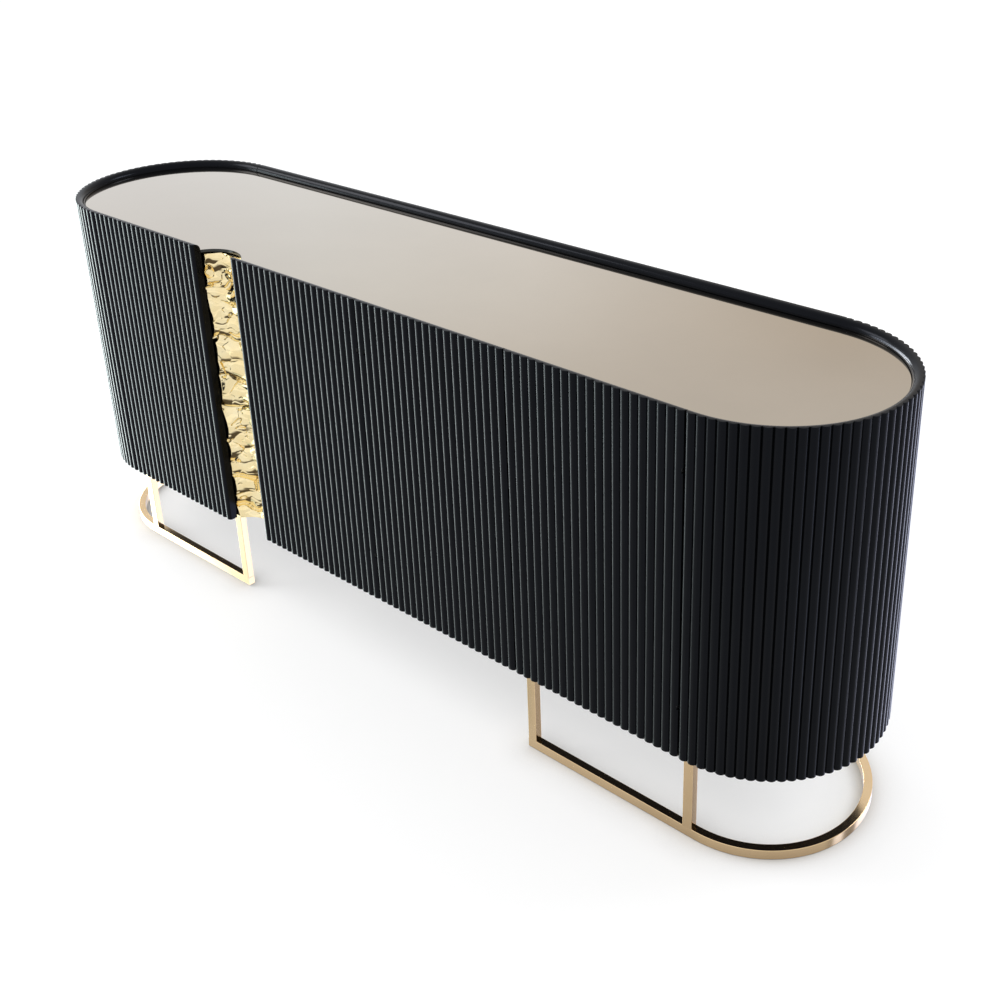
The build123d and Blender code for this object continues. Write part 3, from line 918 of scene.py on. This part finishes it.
# ================= carried-over CAD nodes =================
def dress_nodes():
    """Give every CAD node that still shows its material."""
    by_slot = {
        "black_lacquer": LACQUER,
        "bronze_mirror": MIRROR,
        "gold_relief": GOLD,
        "champagne_metal": CHAMPAGNE,
        "interior_veneer": VENEER_X,
        "zinc_steel": ZINC,
        "black_steel": BLACK_STEEL,
        "black_plastic": BLACK_PLASTIC,
        "clear_bumper": BUMPER,
        "nylon": NYLON,
    }
    slots = {part["node"]: part["material_slot"] for part in frame["record"]["subparts"]}
    for node, item in frame["nodes"].items():
        item.data.materials.clear()
        item.data.materials.append(by_slot[slots[node]])


# ================= studio =================
def make_floor():
    """Pale floor; polished surfaces see the room's lower bands instead."""
    floor = bpy.data.objects.new("studio_floor", bpy.data.meshes.new("studio_floor"))
    half = FLOOR_SIZE / 2
    corners = [(-half, -half, 0), (half, -half, 0), (half, half, 0), (-half, half, 0)]
    floor.data.from_pydata(corners, [], [(0, 1, 2, 3)])
    floor.data.materials.append(floor_material())
    floor.visible_glossy = False
    bpy.context.scene.collection.objects.link(floor)


def around_ramp(tree, turn, stops):
    """Colour by direction; the stops' colours are brightness, so they are brought below 1."""
    scaled = [((a + 180) / 360, tuple(c / STUDIO_STRENGTH for c in colour)) for a, colour in stops]
    return ramp_node(tree, turn, scaled)


def step_node(tree, value, ends, results):
    """Smooth step between two values."""
    node = tree.nodes.new("ShaderNodeMapRange")
    node.interpolation_type = "SMOOTHSTEP"
    node.inputs["From Min"].default_value = ends[0]
    node.inputs["From Max"].default_value = ends[1]
    node.inputs["To Min"].default_value = results[0]
    node.inputs["To Max"].default_value = results[1]
    tree.links.new(value, node.inputs["Value"])
    return node.outputs["Result"]


def mix_node(tree, blend, factor, first, second):
    """Blend of two colours; the factor is a number or a socket."""
    node = tree.nodes.new("ShaderNodeMix")
    node.data_type = "RGBA"
    node.blend_type = blend
    colours = [socket for socket in node.inputs if socket.type == "RGBA"]
    if isinstance(factor, float):
        node.inputs[0].default_value = factor
    else:
        tree.links.new(factor, node.inputs[0])
    tree.links.new(first, colours[0])
    tree.links.new(second, colours[1])
    return [socket for socket in node.outputs if socket.type == "RGBA"][0]


def make_world():
    """Pale room with a bright strip on the left; colour by direction only."""
    world = bpy.data.worlds.new("studio")
    bpy.context.scene.world = world
    world.use_nodes = True
    tree = world.node_tree
    place = tree.nodes.new("ShaderNodeTexCoord")
    split = tree.nodes.new("ShaderNodeSeparateXYZ")
    tree.links.new(place.outputs["Generated"], split.inputs["Vector"])
    ahead = tree.nodes.new("ShaderNodeMath")
    ahead.operation = "MULTIPLY"
    ahead.inputs[1].default_value = -1
    tree.links.new(split.outputs["Y"], ahead.inputs[0])
    angle = tree.nodes.new("ShaderNodeMath")
    angle.operation = "ARCTAN2"
    tree.links.new(split.outputs["X"], angle.inputs[0])
    tree.links.new(ahead.outputs["Value"], angle.inputs[1])
    turn = tree.nodes.new("ShaderNodeMapRange")
    turn.inputs["From Min"].default_value = -math.pi
    turn.inputs["From Max"].default_value = math.pi
    tree.links.new(angle.outputs["Value"], turn.inputs["Value"])
    shade = ramp_node(tree, step_node(tree, split.outputs["Z"], SHADE_HEIGHTS, (0, 1)), SHADE)
    around = turn.outputs["Result"]
    mixed = mix_node(tree, "MULTIPLY", 1.0, around_ramp(tree, around, STUDIO_FLOOR), shade)
    bands = (STUDIO_FAR_FLOOR, STUDIO_STRIP, STUDIO_WALL, STUDIO_CEILING)
    for ends, band in zip(STUDIO_STEPS, bands):
        rise = step_node(tree, split.outputs["Z"], ends, (0, 1))
        mixed = mix_node(tree, "MIX", rise, mixed, around_ramp(tree, around, band))
    background = tree.nodes["Background"]
    tree.links.new(mixed, background.inputs["Color"])
    background.inputs["Strength"].default_value = STUDIO_STRENGTH


def card_material():
    """Glow of the softbox, strongest towards its back edge and weaker towards its foot."""
    material = bpy.data.materials.new("softbox_front")
    material.use_nodes = True
    tree = material.node_tree
    tree.nodes.clear()
    place = tree.nodes.new("ShaderNodeTexCoord")
    split = tree.nodes.new("ShaderNodeSeparateXYZ")
    tree.links.new(place.outputs["Object"], split.inputs["Vector"])
    along = tree.nodes.new("ShaderNodeMapRange")
    along.inputs["From Min"].default_value, along.inputs["From Max"].default_value = CARD_Y
    tree.links.new(split.outputs["Y"], along.inputs["Value"])
    length = CARD_Y[1] - CARD_Y[0]
    stops = [((y - CARD_Y[0]) / length, (glow, glow, glow)) for y, glow in CARD_GLOW]
    emission = tree.nodes.new("ShaderNodeEmission")
    output = tree.nodes.new("ShaderNodeOutputMaterial")
    emission.inputs["Color"].default_value = CARD_COLOUR
    foot = step_node(tree, split.outputs["Z"], CARD_FADE, (CARD_FOOT, 1))
    glow = tree.nodes.new("ShaderNodeMath")
    glow.operation = "MULTIPLY"
    tree.links.new(ramp_node(tree, along.outputs["Result"], stops), glow.inputs[0])
    tree.links.new(foot, glow.inputs[1])
    tree.links.new(glow.outputs["Value"], emission.inputs["Strength"])
    tree.links.new(emission.outputs["Emission"], output.inputs["Surface"])
    material.cycles.emission_sampling = "NONE"
    return material


def make_card():
    """Front of a tall softbox on the left; only polished surfaces see it."""
    mesh = bpy.data.meshes.new("softbox_card")
    (y0, y1), (z0, z1) = CARD_Y, CARD_Z
    corners = [(CARD_X, y0, z0), (CARD_X, y1, z0), (CARD_X, y1, z1), (CARD_X, y0, z1)]
    mesh.from_pydata(corners, [], [(0, 1, 2, 3)])
    mesh.materials.append(card_material())
    card = bpy.data.objects.new("softbox_card", mesh)
    card.visible_camera = False
    card.visible_diffuse = False
    card.visible_shadow = False
    card.visible_transmission = False
    bpy.context.scene.collection.objects.link(card)


def add_area(name, place, aim, size, power, colour):
    data = bpy.data.lights.new(name, "AREA")
    data.shape = "RECTANGLE"
    data.size, data.size_y = size
    data.energy = power
    data.color = colour
    light = bpy.data.objects.new(name, data)
    bpy.context.scene.collection.objects.link(light)
    light.location = place
    light.rotation_euler = (Vector(aim) - Vector(place)).to_track_quat("-Z", "Y").to_euler()


def make_lights():
    add_area("softbox_left", (-3.2, -1.6, 3.0), (0, 0, 0.5), (2.2, 1.6), 60, (1, 0.99, 0.97))
    add_area("softbox_back", (2.6, 3.4, 3.2), (0.4, 0, 0.8), (2.4, 1.2), 70, (0.95, 0.97, 1))


def make_camera():
    """Camera at the height and angle of a standing viewer off the right front corner."""
    yaw, pitch, roll = (math.radians(a) for a in (CAMERA_YAW, CAMERA_PITCH, CAMERA_ROLL))
    ahead = math.cos(pitch)
    forward = Vector((-math.sin(yaw) * ahead, math.cos(yaw) * ahead, -math.sin(pitch)))
    level = Vector((math.cos(yaw), math.sin(yaw), 0))
    down = forward.cross(level)
    right = math.cos(roll) * level + math.sin(roll) * down
    up = math.sin(roll) * level - math.cos(roll) * down
    data = bpy.data.cameras.new("camera")
    data.lens = CAMERA_LENS
    data.shift_x, data.shift_y = CAMERA_SHIFT
    camera = bpy.data.objects.new("camera", data)
    bpy.context.scene.collection.objects.link(camera)
    turn = Matrix((right, up, -forward)).transposed().to_4x4()
    camera.matrix_world = Matrix.Translation(CAMERA_PLACE) @ turn
    bpy.context.scene.camera = camera


# ================= scene =================
LACQUER = black_lacquer()
MIRROR = bronze_mirror()
GLASS_EDGE = glass_edge()
GOLD = gold_relief()
CHAMPAGNE = champagne_metal()
VENEER_X = veneer("interior_veneer_x", 0)
VENEER_Z = veneer("interior_veneer_z", 2)
ZINC = zinc_steel()
BLACK_STEEL = coated("black_steel", (0.014, 0.014, 0.015), (0.026, 0.026, 0.028), 0.5, 900, 0.0002)
PLASTIC_TONES = ((0.02, 0.02, 0.02), (0.032, 0.032, 0.033))
BLACK_PLASTIC = coated("black_plastic", *PLASTIC_TONES, 0.55, 600, 0.0002)
NYLON = coated("nylon", (0.06, 0.06, 0.06), (0.09, 0.09, 0.09), 0.6, 400, 0.0002)
BUMPER = coated("clear_bumper", (0.62, 0.62, 0.60), (0.74, 0.74, 0.72), 0.35, 300, 0.0001)

make_camera()
dress_nodes()
for door, hinge_on_left in ((1, True), (2, False), (3, True), (4, False)):
    make_door(door, hinge_on_left)
make_ends()
make_back()
make_glass()
make_panels()
make_boards()
make_relief()
make_bases()
make_floor()
make_card()
make_world()
make_lights()
bpy.context.scene.view_settings.view_transform = "Standard"
